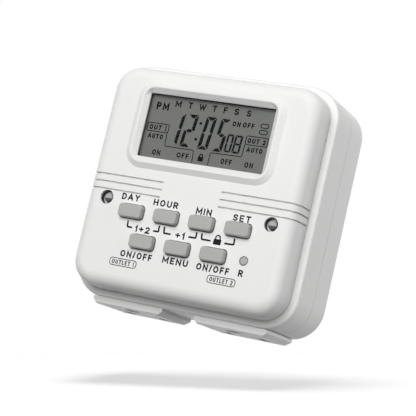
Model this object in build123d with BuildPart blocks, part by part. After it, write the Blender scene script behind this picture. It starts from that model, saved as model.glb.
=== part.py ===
from build123d import *

import os

os.makedirs("parts", exist_ok=True)

# Digital plug-in timer with two switched outlets in its lower edge, in millimetres.
# X runs to the right and Z up, seen from the front. The wall is the plane Y = 0, and the timer stands in
# front of it, towards -Y. A depth below is the distance of a plane from the wall.

# Housing
body_width = 81.0
body_height = 81.0
body_corner = 11.2
rear_depth = 13.7
frame_depth = 14.0
case_wall = 2.0
back_edge = 1.5
flange_edge = 0.8
parting_bevel = 0.25
tongue_height = 1.2
tongue_thickness = 0.8
tongue_clearance = 0.1

# Front cover
cover_height = 10.8
flange_width = 2.5
cover_corner = 8.8
cover_edge = 4.2
cover_draft = 2.0
cover_root_bevel = 0.7
cover_wall = 2.2
face_thickness = 2.0
skirt_length = 30.0
low_skirt_length = 10.0
low_skirt_x = 12.0
skirt_height = 1.4
skirt_root = 3.0
skirt_thickness = 1.5
skirt_clearance = 0.15
frame_ledge = 2.0
frame_opening_corner = 20.0
groove_width = 0.6
groove_depth = 1.1
groove_pitch = 2.5
groove_count = 3
groove_top_rise = 37.35
groove_inner_end = 10.5

# Display
window_side_margin = 15.2
window_height = 21.9
display_drop = 20.0
window_corner = 0.6
bevel_width = 1.65
bevel_depth = 1.6
crest_width = 0.6
bezel_side_slope = 1.9
bezel_end_slope = 1.8
bezel_rise = 1.3
bezel_corner = 6.2
crest_corner = 4.4
crest_round = 0.2
window_recess = 0.6
window_thickness = 1.1
window_lap = 1.95
window_gap = 0.1
glass_thickness = 2.2
glass_lap = 2.45
frame_rim = 1.8
display_fit = 0.1
strip_thickness = 2.2
strip_end_gap = 2.0

# Keys
key_pitch = 12.9
lower_row_rise = 16.6
row_pitch = 9.5
key_width = 8.8
key_height = 4.8
key_corner = 1.2
key_draft = 3.0
key_proud = 2.2
key_edge = 0.4
key_clearance = 0.2
key_lip = 0.8
key_lip_thickness = 1.1
key_stem_radius = 1.6
key_stem_length = 1.2
key_rest_gap = 0.1
reset_x = 23.5
reset_radius = 1.35
reset_proud = 0.1
mat_thickness = 1.0
mat_margin = 1.0
dome_base_radius = 2.9
dome_top_radius = 1.7

# Indicator lamps
lamp_side_margin = 8.1
lamp_rise = 29.6
lamp_well_radius = 2.4
lamp_well_depth = 2.6
lamp_well_wall = 1.0
lamp_well_floor = 0.8
lamp_radius = 1.5
lamp_flange_radius = 1.75
lamp_flange_thickness = 0.8
lamp_recess = 1.0
lamp_edge = 0.5
lamp_hole_clearance = 0.15
lamp_standoff = 1.0
lamp_lead_pitch = 2.54
lead_size = 0.5

# Control board, behind the display and the keys
board_thickness = 1.6
control_board_gap = 5.3
control_board_side_gap = 5.0
control_board_top_gap = 3.8
control_board_bottom_gap = 4.5
boss_clearance = 0.6
battery_x = -19.0
battery_rise = 30.0
battery_radius = 6.8
battery_thickness = 5.0
battery_edge = 0.6
chip_x = 16.0
chip_drop = 10.0
chip_size = 10.0
chip_thickness = 1.4
chip_edge = 0.3
crystal_x = -3.0
crystal_drop = 6.0
crystal_radius = 1.0
crystal_length = 6.0

# Power board, behind the relays
power_board_depth = 8.0
power_board_side_gap = 5.5
power_board_top_gap = 4.5
power_board_lift = 5.0
relay_x = 17.5
relay_drop = 15.0
relay_width = 19.0
relay_tall = 15.5
relay_rise = 15.5
relay_edge = 0.5
film_lift = 7.5
film_width = 18.0
film_tall = 8.5
film_rise = 14.0
film_edge = 1.0
smoothing_x = 22.0
smoothing_drop = 36.0
smoothing_radius = 4.0
smoothing_rise = 11.0
smoothing_edge = 0.5
varistor_x = -22.0
varistor_drop = 36.0
varistor_radius = 5.0
varistor_thickness = 4.0
varistor_standoff = 1.5
varistor_edge = 1.2
diode_x = -17.6
diode_drop = 28.0
diode_radius = 1.3
diode_length = 4.6
diode_pitch = 3.4
diode_count = 4
header_drop = 30.0
header_pins = 7
header_spacing = 2.54
header_pin_width = 0.64
header_strip_thickness = 2.5

# Screws
case_screw_radius = 1.5
case_screw_head_radius = 2.8
case_screw_head_height = 2.2
case_screw_recess = 4.0
case_screw_bite = 6.0
case_pillar_radius = 4.2
case_boss_radius = 3.4
case_screw_inset = 9.0
screw_clearance = 0.3
thread_clearance = 0.05
head_clearance = 0.3
drive_depth = 1.1
drive_length = 3.2
drive_width = 0.8
small_screw_radius = 1.1
small_screw_head_radius = 2.1
small_screw_head_height = 1.3
small_screw_length = 5.0
small_drive_depth = 0.7
small_drive_length = 2.4
small_boss_radius = 2.6
control_screw_side_inset = 2.5
control_screw_side_drop = 10.1
control_screw_low_inset = 3.0
control_screw_low_x = 22.0
power_screw_side_inset = 4.0
power_screw_low_rise = 5.5
power_screw_top_x = 20.0
power_screw_top_inset = 2.8

# Outlets in the lower edge
outlet_x = 18.9
outlet_nose_width = 26.1
outlet_nose_back = 3.0
outlet_nose_set_back = 0.4
outlet_nose_drop = 2.54
outlet_nose_bevel = 1.5
outlet_nose_edge = 0.5
outlet_body_width = 22.6
outlet_body_tall = 17.5
outlet_body_back = 5.3
outlet_body_chamfer = 2.4
outlet_front_wall = 1.5
outlet_fit = 0.1
outlet_ear = 0.7
outlet_ear_height = 1.5
outlet_ear_gap = 0.3
outlet_ear_inset = 3.0
outlet_face_thickness = 3.5
blade_spacing = 12.7
ground_distance = 11.9
slot_line_set_back = 5.0
slot_width = 2.2
hot_slot_length = 7.0
neutral_slot_length = 8.4
ground_hole_radius = 2.6
pocket_clearance = 0.4
clip_leaf = 0.5
clip_gap = 1.5
clip_depth = 6.4
clip_drop = 12.0
ground_clip_gap = 4.8
ground_clip_depth = 4.6
strap_thickness = 0.8
strap_width = 6.0
neutral_strap_distance = 6.0
neutral_strap_width = 3.0
ground_strap_lift = 2.0
tab_width = 4.0
tab_thickness = 0.6
tab_reach = 4.0

# Plug on the back
plug_height = 18.0
blade_thickness = 1.52
line_blade_width = 6.35
neutral_blade_width = 7.94
blade_length = 17.5
blade_tip_bevel = 0.5
blade_hole_radius = 1.6
blade_hole_distance = 11.9
blade_fit = 0.1
collar_thickness = 1.0
collar_lap = 1.0
ground_pin_radius = 2.4
ground_pin_root_radius = 2.6
ground_pin_length = 20.0
ground_pin_tip = 1.6
rivet_radius = 1.4
rivet_length = 1.6
rivet_clearance = 0.1

# Depths of the main planes
flange_face = rear_depth + frame_depth
front_face = flange_face + cover_height
face_inside = front_face - face_thickness
frame_inside = flange_face - case_wall
board_front = face_inside - control_board_gap
board_back = board_front - board_thickness
power_front = power_board_depth + board_thickness
window_seat = front_face + bezel_rise - bevel_depth - window_recess
window_front = window_seat - window_gap
window_back = window_front - window_thickness
glass_front = window_back - window_gap
glass_back = glass_front - glass_thickness
key_lip_front = face_inside - key_rest_gap
key_lip_back = key_lip_front - key_lip_thickness
key_stem_end = key_lip_back - key_stem_length
mat_front = board_front + mat_thickness
lamp_tip = front_face - lamp_recess
well_floor = front_face - lamp_well_depth
well_back = well_floor - lamp_well_floor

# Places that several pieces share
inner_width = body_width - 2 * case_wall
inner_height = body_height - 2 * case_wall
inner_corner = body_corner - case_wall
cover_width = body_width - 2 * flange_width
cover_tall = body_height - 2 * flange_width
opening_width = inner_width - 2 * frame_ledge
opening_height = inner_height - 2 * frame_ledge
window_width = cover_width - 2 * window_side_margin
display_height = cover_tall / 2 - display_drop
groove_top_height = groove_top_rise - cover_tall / 2
lower_row_height = lower_row_rise - cover_tall / 2
upper_row_height = lower_row_height + row_pitch
lamp_x = cover_width / 2 - lamp_side_margin
lamp_height = lamp_rise - cover_tall / 2
control_board_width = cover_width - 2 * control_board_side_gap
control_board_top = cover_tall / 2 - control_board_top_gap
control_board_bottom = control_board_bottom_gap - cover_tall / 2
power_board_width = inner_width - 2 * power_board_side_gap
power_board_top = inner_height / 2 - power_board_top_gap
nose_top = -body_height / 2
nose_bottom = nose_top - outlet_nose_drop
nose_front = flange_face - outlet_nose_set_back
face_top = nose_bottom + outlet_face_thickness
outlet_body_top = nose_top + outlet_body_tall
power_board_bottom = outlet_body_top + power_board_lift
outlet_body_front = flange_face - outlet_front_wall - outlet_fit
outlet_middle = (outlet_body_back + outlet_body_front) / 2
slot_line_depth = outlet_middle - slot_line_set_back
ground_line_depth = slot_line_depth + ground_distance
plug_ground_height = plug_height - ground_distance
case_screw_x = body_width / 2 - case_screw_inset
case_screw_height = body_height / 2 - case_screw_inset
case_screw_places = [
    (-case_screw_x, case_screw_height),
    (case_screw_x, case_screw_height),
    (0, -case_screw_height),
]
control_screw_side_x = control_board_width / 2 - control_screw_side_inset
control_screw_side_height = display_height - control_screw_side_drop
control_screw_low_height = control_board_bottom + control_screw_low_inset
control_screw_places = [
    (-control_screw_side_x, control_screw_side_height),
    (control_screw_side_x, control_screw_side_height),
    (-control_screw_low_x, control_screw_low_height),
    (control_screw_low_x, control_screw_low_height),
]
power_screw_low_x = power_board_width / 2 - power_screw_side_inset
power_screw_low_height = power_board_bottom + power_screw_low_rise
power_screw_top_height = power_board_top - power_screw_top_inset
power_screw_places = [
    (-power_screw_low_x, power_screw_low_height),
    (power_screw_low_x, power_screw_low_height),
    (-power_screw_top_x, power_screw_top_height),
    (power_screw_top_x, power_screw_top_height),
]
key_places = {
    "day_key": (-1.5 * key_pitch, upper_row_height),
    "hour_key": (-0.5 * key_pitch, upper_row_height),
    "minute_key": (0.5 * key_pitch, upper_row_height),
    "set_key": (1.5 * key_pitch, upper_row_height),
    "outlet1_key": (-key_pitch, lower_row_height),
    "menu_key": (0, lower_row_height),
    "outlet2_key": (key_pitch, lower_row_height),
}
reset_place = (reset_x, lower_row_height)


def across(depth):
    """The plane parallel to the wall at a depth. Its normal points away from the wall."""
    return Plane.XZ.offset(depth)


# Rear case: a tray whose floor lies on the wall
with BuildPart() as rear_case:
    with BuildSketch(across(0)):
        RectangleRounded(body_width, body_height, body_corner)
    extrude(amount=rear_depth)
    fillet(rear_case.faces().sort_by(Axis.Y)[-1].edges(), back_edge)
    chamfer(rear_case.faces().sort_by(Axis.Y)[0].edges(), parting_bevel)
    with BuildSketch(across(case_wall)):
        RectangleRounded(inner_width, inner_height, inner_corner)
    extrude(amount=rear_depth, mode=Mode.SUBTRACT)
    # Tongue round the mouth, which centres the frame
    with BuildSketch(across(rear_depth - tongue_height)):
        RectangleRounded(
            inner_width + 2 * tongue_thickness,
            inner_height + 2 * tongue_thickness,
            inner_corner + tongue_thickness,
        )
        RectangleRounded(inner_width, inner_height, inner_corner, mode=Mode.SUBTRACT)
    extrude(amount=2 * tongue_height)
    # Pillars for the case screws
    with BuildSketch(across(0)):
        with Locations(*case_screw_places):
            Circle(case_pillar_radius)
    extrude(amount=rear_depth)
    with BuildSketch(across(0)):
        with Locations(*case_screw_places):
            Circle(case_screw_head_radius + head_clearance)
    extrude(amount=case_screw_recess, mode=Mode.SUBTRACT)
    with BuildSketch(across(0)):
        with Locations(*case_screw_places):
            Circle(case_screw_radius + screw_clearance)
    extrude(amount=rear_depth, mode=Mode.SUBTRACT)
    # Posts under the power board
    with BuildSketch(across(case_wall)):
        with Locations(*power_screw_places):
            Circle(small_boss_radius)
    extrude(amount=power_board_depth - case_wall)
    with BuildSketch(across(case_wall)):
        with Locations(*power_screw_places):
            Circle(small_screw_radius + thread_clearance)
    extrude(amount=power_board_depth, mode=Mode.SUBTRACT)
    # Openings for the plug
    with BuildSketch(across(0)):
        with Locations((blade_spacing / 2, plug_height)):
            Rectangle(blade_thickness + 2 * blade_fit, line_blade_width + 2 * blade_fit)
        with Locations((-blade_spacing / 2, plug_height)):
            Rectangle(blade_thickness + 2 * blade_fit, neutral_blade_width + 2 * blade_fit)
        with Locations((0, plug_ground_height)):
            Circle(ground_pin_root_radius + blade_fit)
    extrude(amount=case_wall, mode=Mode.SUBTRACT)
    # Rear part of the openings for the outlets
    with BuildSketch(Plane.XY.offset(nose_top)) as outlet_opening:
        with Locations((-outlet_x, outlet_fit - outlet_body_back), (outlet_x, outlet_fit - outlet_body_back)):
            Rectangle(
                outlet_body_width + 2 * outlet_fit,
                rear_depth + tongue_height,
                align=(Align.CENTER, Align.MAX),
            )
        chamfer(outlet_opening.vertices().group_by(Axis.Y)[-1], outlet_body_chamfer)
    extrude(amount=2 * case_wall, mode=Mode.SUBTRACT)
rear_case.part.label = "rear_case"
export_step(rear_case.part, "parts/rear_case.step")


# Front case: the frame with the flange that the cover stands on
with BuildPart() as front_case:
    with BuildSketch(across(rear_depth)):
        RectangleRounded(body_width, body_height, body_corner)
    extrude(amount=frame_depth)
    fillet(front_case.faces().sort_by(Axis.Y)[0].edges(), flange_edge)
    chamfer(front_case.faces().sort_by(Axis.Y)[-1].edges(), parting_bevel)
    with BuildSketch(across(rear_depth)):
        RectangleRounded(inner_width, inner_height, inner_corner)
    extrude(amount=frame_depth - case_wall, mode=Mode.SUBTRACT)
    # Rebate for the rear case's tongue
    with BuildSketch(across(rear_depth)):
        RectangleRounded(
            inner_width + 2 * (tongue_thickness + tongue_clearance),
            inner_height + 2 * (tongue_thickness + tongue_clearance),
            inner_corner + tongue_thickness + tongue_clearance,
        )
    extrude(amount=tongue_height + tongue_clearance, mode=Mode.SUBTRACT)
    with BuildSketch(across(frame_inside)):
        RectangleRounded(opening_width, opening_height, frame_opening_corner)
    extrude(amount=case_wall, mode=Mode.SUBTRACT)
    # Tab that carries the lower screw's boss
    with BuildSketch(across(frame_inside)):
        with Locations((0, -inner_height / 2)):
            Rectangle(
                2 * case_boss_radius, inner_height / 2 - case_screw_height, align=(Align.CENTER, Align.MIN)
            )
    extrude(amount=case_wall)
    with BuildSketch(across(rear_depth)):
        with Locations(*case_screw_places):
            Circle(case_boss_radius)
    extrude(amount=frame_depth)
    with BuildSketch(across(rear_depth)):
        with Locations(*case_screw_places):
            Circle(case_screw_radius + screw_clearance)
    extrude(amount=frame_depth, mode=Mode.SUBTRACT)
    # Front part of the openings for the outlets
    with BuildSketch(Plane.XY.offset(nose_top)):
        with Locations((-outlet_x, -rear_depth), (outlet_x, -rear_depth)):
            Rectangle(
                outlet_body_width + 2 * outlet_fit, 2 * (outlet_body_front + outlet_fit - rear_depth)
            )
    extrude(amount=outlet_body_top + outlet_fit - nose_top, mode=Mode.SUBTRACT)
front_case.part.label = "front_case"
export_step(front_case.part, "parts/front_case.step")

# The cover's outside, set in by the depth of the grooves
with BuildPart() as groove_floor:
    with BuildSketch(across(flange_face)):
        RectangleRounded(
            cover_width - 2 * groove_depth, cover_tall - 2 * groove_depth, cover_corner - groove_depth
        )
    extrude(amount=cover_height - groove_depth, taper=cover_draft)
    fillet(groove_floor.faces().sort_by(Axis.Y)[0].edges(), cover_edge - groove_depth)

# Three grooves on each side, which run over the front edge and down to the flange
groove_length = cover_width / 2 - groove_inner_end
groove_middle = groove_inner_end + groove_length / 2
with BuildPart() as grooves:
    with BuildSketch(across(flange_face)):
        for row in range(groove_count):
            height = groove_top_height - row * groove_pitch
            with Locations((-groove_middle, height), (groove_middle, height)):
                SlotOverall(groove_length, groove_width)
            with Locations((-cover_width / 2, height), (cover_width / 2, height)):
                Rectangle(cover_corner, groove_width)
    extrude(amount=cover_height + groove_depth)
    add(groove_floor.part, mode=Mode.SUBTRACT)

# Front cover: the raised shell with the display's bezel and the key openings
skirt_x = opening_width / 2 - skirt_clearance
skirt_y = opening_height / 2 - skirt_clearance
with BuildPart() as front_cover:
    with BuildSketch(across(flange_face)):
        RectangleRounded(cover_width, cover_tall, cover_corner)
    extrude(amount=cover_height, taper=cover_draft)
    fillet(front_cover.faces().sort_by(Axis.Y)[0].edges(), cover_edge)
    chamfer(front_cover.faces().sort_by(Axis.Y)[-1].edges(), cover_root_bevel)
    add(grooves.part, mode=Mode.SUBTRACT)
    # Bezel: a sloped ring, then the bevel that leads down to the window
    with BuildSketch(across(front_face)):
        with Locations((0, display_height)):
            RectangleRounded(
                window_width + 2 * (bevel_width + crest_width + bezel_side_slope),
                window_height + 2 * (bevel_width + crest_width + bezel_end_slope),
                bezel_corner,
            )
    with BuildSketch(across(front_face + bezel_rise)):
        with Locations((0, display_height)):
            RectangleRounded(
                window_width + 2 * (bevel_width + crest_width),
                window_height + 2 * (bevel_width + crest_width),
                crest_corner,
            )
    loft()
    with BuildSketch(across(front_face + bezel_rise)):
        with Locations((0, display_height)):
            RectangleRounded(
                window_width + 2 * bevel_width, window_height + 2 * bevel_width, crest_corner - crest_width
            )
    with BuildSketch(across(front_face + bezel_rise - bevel_depth)):
        with Locations((0, display_height)):
            RectangleRounded(window_width, window_height, window_corner)
    loft(mode=Mode.SUBTRACT)
    fillet(front_cover.faces().sort_by(Axis.Y)[0].edges(), crest_round)
    # Hollow
    with BuildSketch(across(flange_face)):
        RectangleRounded(cover_width - 2 * cover_wall, cover_tall - 2 * cover_wall, cover_corner - cover_wall)
    extrude(amount=cover_height - face_thickness, taper=cover_draft, mode=Mode.SUBTRACT)
    # Skirts that locate the cover in the frame's opening
    with BuildSketch(across(flange_face - skirt_height)):
        with Locations((0, skirt_y)):
            Rectangle(skirt_length, skirt_thickness, align=(Align.CENTER, Align.MAX))
        with Locations((-low_skirt_x, -skirt_y), (low_skirt_x, -skirt_y)):
            Rectangle(low_skirt_length, skirt_thickness, align=(Align.CENTER, Align.MIN))
        with Locations((skirt_x, 0)):
            Rectangle(skirt_thickness, skirt_length, align=(Align.MAX, Align.CENTER))
        with Locations((-skirt_x, 0)):
            Rectangle(skirt_thickness, skirt_length, align=(Align.MIN, Align.CENTER))
    extrude(amount=skirt_height + skirt_root)
    # Bosses for the case screws and for the control board
    with BuildSketch(across(flange_face)):
        with Locations(*case_screw_places):
            Circle(case_boss_radius)
    extrude(amount=cover_height - face_thickness)
    with BuildSketch(across(flange_face)):
        with Locations(*case_screw_places):
            Circle(case_screw_radius + thread_clearance)
    extrude(amount=case_screw_bite + screw_clearance, mode=Mode.SUBTRACT)
    with BuildSketch(across(board_front)):
        with Locations(*control_screw_places):
            Circle(small_boss_radius)
    extrude(amount=face_inside - board_front)
    with BuildSketch(across(board_front)):
        with Locations(*control_screw_places):
            Circle(small_screw_radius + thread_clearance)
    extrude(amount=small_screw_length - board_thickness + screw_clearance, mode=Mode.SUBTRACT)
    # Wells for the lamps, whose floors lie behind the face
    with BuildSketch(across(well_back)):
        with Locations((-lamp_x, lamp_height), (lamp_x, lamp_height)):
            Circle(lamp_well_radius + lamp_well_wall)
    extrude(amount=face_inside - well_back)
    with BuildSketch(across(well_floor)):
        with Locations((-lamp_x, lamp_height), (lamp_x, lamp_height)):
            Circle(lamp_well_radius)
    extrude(amount=lamp_well_depth, mode=Mode.SUBTRACT)
    with BuildSketch(across(well_back)):
        with Locations((-lamp_x, lamp_height), (lamp_x, lamp_height)):
            Circle(lamp_radius + lamp_hole_clearance)
    extrude(amount=lamp_well_floor, mode=Mode.SUBTRACT)
    # Window opening and its seat
    with BuildSketch(across(face_inside)):
        with Locations((0, display_height)):
            RectangleRounded(window_width, window_height, window_corner)
    extrude(amount=front_face - face_inside, mode=Mode.SUBTRACT)
    with BuildSketch(across(face_inside)):
        with Locations((0, display_height)):
            Rectangle(
                window_width + 2 * (window_lap + display_fit), window_height + 2 * (window_lap + display_fit)
            )
    extrude(amount=window_seat - face_inside, mode=Mode.SUBTRACT)
    # Openings for the keys and the reset button
    with BuildSketch(across(face_inside)):
        with Locations(*key_places.values()):
            RectangleRounded(
                key_width + 2 * key_clearance, key_height + 2 * key_clearance, key_corner + key_clearance
            )
        with Locations(reset_place):
            Circle(reset_radius + key_clearance)
    extrude(amount=face_thickness, mode=Mode.SUBTRACT)
front_cover.part.label = "front_cover"
export_step(front_cover.part, "parts/front_cover.step")

# Display window, glued into the cover from behind
with BuildPart() as display_window:
    with BuildSketch(across(window_back)):
        with Locations((0, display_height)):
            Rectangle(window_width + 2 * window_lap, window_height + 2 * window_lap)
    extrude(amount=window_thickness)
display_window.part.label = "display_window"
export_step(display_window.part, "parts/display_window.step")

# Liquid crystal cell
with BuildPart() as display_glass:
    with BuildSketch(across(glass_back)):
        with Locations((0, display_height)):
            Rectangle(window_width + 2 * glass_lap, window_height + 2 * glass_lap)
    extrude(amount=glass_thickness)
display_glass.part.label = "display_glass"
export_step(display_glass.part, "parts/display_glass.step")

# Frame that holds the cell on the control board
with BuildPart() as display_frame:
    with BuildSketch(across(board_front)):
        with Locations((0, display_height)):
            Rectangle(
                window_width + 2 * (glass_lap + display_fit + frame_rim),
                window_height + 2 * (glass_lap + display_fit + frame_rim),
            )
            Rectangle(
                window_width + 2 * (glass_lap + display_fit),
                window_height + 2 * (glass_lap + display_fit),
                mode=Mode.SUBTRACT,
            )
    extrude(amount=window_back - window_gap - board_front)
display_frame.part.label = "display_frame"
export_step(display_frame.part, "parts/display_frame.step")

# Two rubber strips that carry the signals from the board to the cell
with BuildPart() as contact_strips:
    with BuildSketch(across(board_front)):
        with Locations((0, display_height)):
            with GridLocations(1, window_height + 2 * glass_lap - strip_thickness, 1, 2):
                Rectangle(window_width + 2 * glass_lap - 2 * strip_end_gap, strip_thickness)
    extrude(amount=glass_back - board_front)
contact_strips.part.label = "contact_strips"
export_step(contact_strips.part, "parts/contact_strips.step")

# Control board
with BuildPart() as control_board:
    with BuildSketch(across(board_back)):
        with Locations((0, control_board_bottom)):
            Rectangle(
                control_board_width, control_board_top - control_board_bottom, align=(Align.CENTER, Align.MIN)
            )
        with Locations(*case_screw_places):
            Circle(case_boss_radius + boss_clearance, mode=Mode.SUBTRACT)
        with Locations(*control_screw_places):
            Circle(small_screw_radius + screw_clearance, mode=Mode.SUBTRACT)
    extrude(amount=board_thickness)
control_board.part.label = "control_board"
export_step(control_board.part, "parts/control_board.step")

# Silicone contact mat with a dome under each key
dome_places = list(key_places.values()) + [reset_place]
mat_width = 2 * (max(reset_x, 1.5 * key_pitch) + dome_base_radius + mat_margin)
mat_top = upper_row_height + dome_base_radius + mat_margin
mat_bottom = lower_row_height - dome_base_radius - mat_margin
with BuildPart() as key_mat:
    with BuildSketch(across(board_front)):
        with Locations((0, mat_bottom)):
            Rectangle(mat_width, mat_top - mat_bottom, align=(Align.CENTER, Align.MIN))
    extrude(amount=mat_thickness)
    for place in dome_places:
        with BuildSketch(across(mat_front)):
            with Locations(place):
                Circle(dome_base_radius)
        with BuildSketch(across(key_stem_end - key_rest_gap)):
            with Locations(place):
                Circle(dome_top_radius)
        loft()
key_mat.part.label = "key_mat"
export_step(key_mat.part, "parts/key_mat.step")

# Seven keys, each with a lip that stops it behind the cover
for name, place in key_places.items():
    with BuildPart() as key:
        with BuildSketch(across(key_lip_front)):
            with Locations(place):
                RectangleRounded(key_width, key_height, key_corner)
        extrude(amount=front_face + key_proud - key_lip_front, taper=key_draft)
        fillet(key.faces().sort_by(Axis.Y)[0].edges(), key_edge)
        with BuildSketch(across(key_lip_back)):
            with Locations(place):
                RectangleRounded(key_width + 2 * key_lip, key_height + 2 * key_lip, key_corner)
        extrude(amount=key_lip_thickness)
        with BuildSketch(across(key_stem_end)):
            with Locations(place):
                Circle(key_stem_radius)
        extrude(amount=key_stem_length)
    key.part.label = name
    export_step(key.part, f"parts/{name}.step")

# Reset button
with BuildPart() as reset_button:
    with BuildSketch(across(key_lip_front)):
        with Locations(reset_place):
            Circle(reset_radius)
    extrude(amount=front_face + reset_proud - key_lip_front)
    fillet(reset_button.faces().sort_by(Axis.Y)[0].edges(), key_edge)
    with BuildSketch(across(key_lip_back)):
        with Locations(reset_place):
            Circle(reset_radius + key_lip)
    extrude(amount=key_lip_thickness)
    with BuildSketch(across(key_stem_end)):
        with Locations(reset_place):
            Circle(key_stem_radius)
    extrude(amount=key_stem_length)
reset_button.part.label = "reset_button"
export_step(reset_button.part, "parts/reset_button.step")

# Indicator lamps, one for each outlet, standing on the control board
lamp_foot = board_front + lamp_standoff
for side, x in (("left", -lamp_x), ("right", lamp_x)):
    with BuildPart() as lamp:
        with BuildSketch(across(lamp_foot)):
            with Locations((x, lamp_height)):
                Circle(lamp_flange_radius)
        extrude(amount=lamp_flange_thickness)
        with BuildSketch(across(lamp_foot)):
            with Locations((x, lamp_height)):
                Circle(lamp_radius)
        extrude(amount=lamp_tip - lamp_foot)
        fillet(lamp.faces().sort_by(Axis.Y)[0].edges(), lamp_edge)
        with BuildSketch(across(board_front)):
            with Locations((x, lamp_height)):
                with GridLocations(lamp_lead_pitch, 1, 2, 1):
                    Rectangle(lead_size, lead_size)
        extrude(amount=lamp_standoff + lamp_flange_thickness / 2)
    lamp.part.label = f"lamp_{side}"
    export_step(lamp.part, f"parts/lamp_{side}.step")

# Rechargeable cell that keeps the clock running
with BuildPart() as backup_battery:
    with BuildSketch(across(board_back - battery_thickness)):
        with Locations((battery_x, battery_rise - cover_tall / 2)):
            Circle(battery_radius)
    extrude(amount=battery_thickness)
    fillet(backup_battery.edges().filter_by(GeomType.CIRCLE), battery_edge)
backup_battery.part.label = "backup_battery"
export_step(backup_battery.part, "parts/backup_battery.step")

# Controller and its crystal
with BuildPart() as controller_chip:
    with BuildSketch(across(board_back - chip_thickness)):
        with Locations((chip_x, display_height - chip_drop)):
            Rectangle(chip_size, chip_size)
    extrude(amount=chip_thickness)
    chamfer(controller_chip.faces().sort_by(Axis.Y)[-1].edges(), chip_edge)
controller_chip.part.label = "controller_chip"
export_step(controller_chip.part, "parts/controller_chip.step")

with BuildPart() as clock_crystal:
    with BuildSketch(across(board_back - crystal_length)):
        with Locations((crystal_x, display_height - crystal_drop)):
            Circle(crystal_radius)
    extrude(amount=crystal_length)
clock_crystal.part.label = "clock_crystal"
export_step(clock_crystal.part, "parts/clock_crystal.step")

# Power board
with BuildPart() as power_board:
    with BuildSketch(across(power_board_depth)):
        with Locations((0, power_board_bottom)):
            Rectangle(
                power_board_width, power_board_top - power_board_bottom, align=(Align.CENTER, Align.MIN)
            )
        with Locations(*case_screw_places):
            Circle(case_pillar_radius + boss_clearance, mode=Mode.SUBTRACT)
        with Locations(*power_screw_places):
            Circle(small_screw_radius + screw_clearance, mode=Mode.SUBTRACT)
    extrude(amount=board_thickness)
power_board.part.label = "power_board"
export_step(power_board.part, "parts/power_board.step")

# A relay for each outlet
for side, x in (("left", -relay_x), ("right", relay_x)):
    with BuildPart() as relay:
        with BuildSketch(across(power_front)):
            with Locations((x, power_board_top - relay_drop)):
                Rectangle(relay_width, relay_tall)
        extrude(amount=relay_rise)
        fillet(relay.edges().filter_by(Axis.Y), relay_edge)
    relay.part.label = f"relay_{side}"
    export_step(relay.part, f"parts/relay_{side}.step")

# Capacitive mains supply: film capacitor, smoothing capacitor, varistor and diodes
with BuildPart() as film_capacitor:
    with BuildSketch(across(power_front)):
        with Locations((0, power_board_bottom + film_lift)):
            Rectangle(film_width, film_tall)
    extrude(amount=film_rise)
    fillet(film_capacitor.faces().sort_by(Axis.Y)[0].edges(), film_edge)
film_capacitor.part.label = "film_capacitor"
export_step(film_capacitor.part, "parts/film_capacitor.step")

with BuildPart() as smoothing_capacitor:
    with BuildSketch(across(power_front)):
        with Locations((smoothing_x, power_board_top - smoothing_drop)):
            Circle(smoothing_radius)
    extrude(amount=smoothing_rise)
    fillet(smoothing_capacitor.faces().sort_by(Axis.Y)[0].edges(), smoothing_edge)
smoothing_capacitor.part.label = "smoothing_capacitor"
export_step(smoothing_capacitor.part, "parts/smoothing_capacitor.step")

varistor_height = power_board_top - varistor_drop
with BuildPart() as varistor:
    with BuildSketch(Plane.XY.offset(varistor_height - varistor_thickness / 2)):
        with Locations((varistor_x, -power_front - varistor_standoff - varistor_radius)):
            Circle(varistor_radius)
    extrude(amount=varistor_thickness)
    fillet(varistor.edges().filter_by(GeomType.CIRCLE), varistor_edge)
    with BuildSketch(across(power_front)):
        with Locations((varistor_x, varistor_height)):
            with GridLocations(varistor_radius, 1, 2, 1):
                Rectangle(lead_size, lead_size)
    extrude(amount=varistor_standoff + varistor_radius)
varistor.part.label = "varistor"
export_step(varistor.part, "parts/varistor.step")

with BuildPart() as diodes:
    with BuildSketch(across(power_front)):
        with Locations((diode_x, power_board_top - diode_drop)):
            with GridLocations(diode_pitch, 1, diode_count, 1):
                Circle(diode_radius)
    extrude(amount=diode_length)
diodes.part.label = "diodes"
export_step(diodes.part, "parts/diodes.step")

# Pin header between the two boards
header_height = power_board_top - header_drop
with BuildPart() as board_header:
    with BuildSketch(across(power_front)):
        with Locations((0, header_height)):
            Rectangle(header_pins * header_spacing, header_spacing)
    extrude(amount=header_strip_thickness)
    with BuildSketch(across(board_back - header_strip_thickness)):
        with Locations((0, header_height)):
            Rectangle(header_pins * header_spacing, header_spacing)
    extrude(amount=header_strip_thickness)
    with BuildSketch(across(power_front)):
        with Locations((0, header_height)):
            with GridLocations(header_spacing, 1, header_pins, 1):
                Rectangle(header_pin_width, header_pin_width)
    extrude(amount=board_back - power_front)
board_header.part.label = "board_header"
export_step(board_header.part, "parts/board_header.step")

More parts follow.
